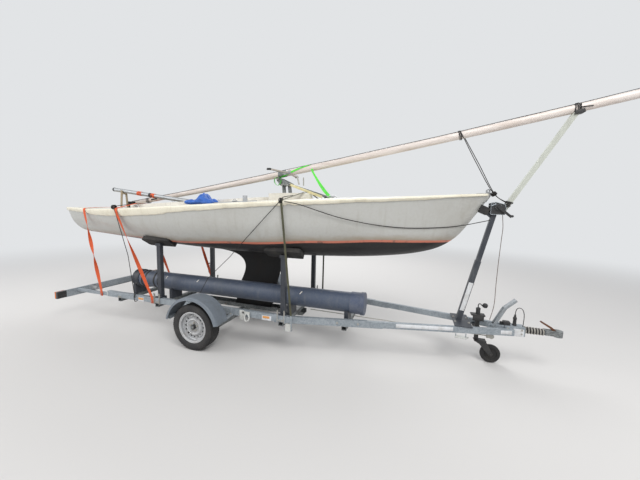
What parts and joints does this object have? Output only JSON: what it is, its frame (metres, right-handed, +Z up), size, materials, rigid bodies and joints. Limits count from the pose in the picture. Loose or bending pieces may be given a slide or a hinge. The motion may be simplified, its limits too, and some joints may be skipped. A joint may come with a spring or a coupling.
{
  "type": "fin-keel sailing keelboat on a single-axle road trailer",
  "caption": "Open fin-keel sailing boat with its mast lashed down, strapped on a galvanised road trailer that stands on its wheels and jockey wheel.",
  "frame": {"origin": "on the ground, at the middle of the plan of the whole", "axes": "+X forward to the towing coupling, +Y to port, +Z up"},
  "size_m": [8.8894, 2.03, 3.276],
  "materials": {
    "topside_gelcoat": "weathered gel coat",
    "deck_gelcoat": "weathered gel coat",
    "cream_strake": "gel coat",
    "keel_paint": "flat antifouling",
    "galvanised_steel": "aged galvanising",
    "stainless": "dull",
    "spar_alloy": "weathered",
    "bare_alloy": "dull",
    "black_steel": "worn paint",
    "black_plastic": "matte",
    "grey_pipe": "faded",
    "pad_rubber": "matte",
    "tyre_rubber": "matte",
    "rusty_steel": "surface rust",
    "lamp_plastic": "gloss",
    "orange_webbing": "woven",
    "black_rope": "laid rope",
    "blue_cloth": "woven",
    "plywood": "painted"
  },
  "bodies": {
    "trailer_and_boat": {"hull": "topside_gelcoat", "deck": "deck_gelcoat", "cockpit_tub": "deck_gelcoat", "cockpit_coaming": "deck_gelcoat", "gunwale_strake": "cream_strake", "keel_fin": "keel_paint", "stem_fitting": "stainless", "rudder_gudgeons": "stainless", "chainplates": "stainless", "mast": "spar_alloy", "spreaders": "spar_alloy", "boom": "bare_alloy", "traveller_beam": "bare_alloy", "boom_crutch": "plywood", "mast_trestle": "galvanised_steel", "masthead_chock": "black_plastic", "side_rails": "galvanised_steel", "drawbar_arms": "galvanised_steel", "cross_members": "galvanised_steel", "keel_tray": "galvanised_steel", "keel_pad": "pad_rubber", "axle": "galvanised_steel", "axle_brackets": "galvanised_steel", "mudguard_right": "galvanised_steel", "mudguard_left": "galvanised_steel", "mudguard_arms": "galvanised_steel", "support_posts": "black_steel", "swivel_pads": "pad_rubber", "storage_pipe": "grey_pipe", "pipe_caps": "black_plastic", "pipe_saddles": "black_steel", "winch_post": "black_steel", "bow_stop": "pad_rubber", "winch": "black_steel", "mast_arm": "bare_alloy", "mast_cradle": "black_plastic", "light_slides": "galvanised_steel", "light_board": "galvanised_steel", "rear_lamps": "lamp_plastic", "coupling_housing": "black_steel", "coupling_bellows": "black_plastic", "coupling_head": "black_steel", "coupling_handle": "rusty_steel", "brake_lever": "black_steel", "jockey_clamp": "galvanised_steel", "jockey_crank": "black_plastic", "lashing_straps": "orange_webbing", "bow_rope": "black_rope", "plug_cable": "black_plastic", "cable_plug": "black_plastic", "sail_bag": "blue_cloth"},
    "wheel_right": {"tyre_right": "tyre_rubber", "wheel_disc_right": "galvanised_steel", "hub_right": "galvanised_steel"},
    "wheel_left": {"tyre_left": "tyre_rubber", "wheel_disc_left": "galvanised_steel", "hub_left": "galvanised_steel"},
    "jockey_swivel": {"jockey_fork": "galvanised_steel"},
    "jockey_roller": {"jockey_wheel": "pad_rubber"}
  },
  "joints": [
    {"name": "wheel_right_spin", "type": "hinge", "parent": "trailer_and_boat", "child": "wheel_right", "pos_m": [-1.34387, -0.902, 0.2915], "axis": [0, 1, 0], "continuous": true},
    {"name": "wheel_left_spin", "type": "hinge", "parent": "trailer_and_boat", "child": "wheel_left", "pos_m": [-1.34387, 0.902, 0.2915], "axis": [0, 1, 0], "continuous": true},
    {"name": "jockey_swivel_turn", "type": "hinge", "parent": "trailer_and_boat", "child": "jockey_swivel", "pos_m": [1.97613, 0, 0.26], "axis": [0, 0, 1], "continuous": true},
    {"name": "jockey_wheel_spin", "type": "hinge", "parent": "jockey_swivel", "child": "jockey_roller", "pos_m": [2.13613, 0, 0.11], "axis": [0, 1, 0], "continuous": true}
  ]
}
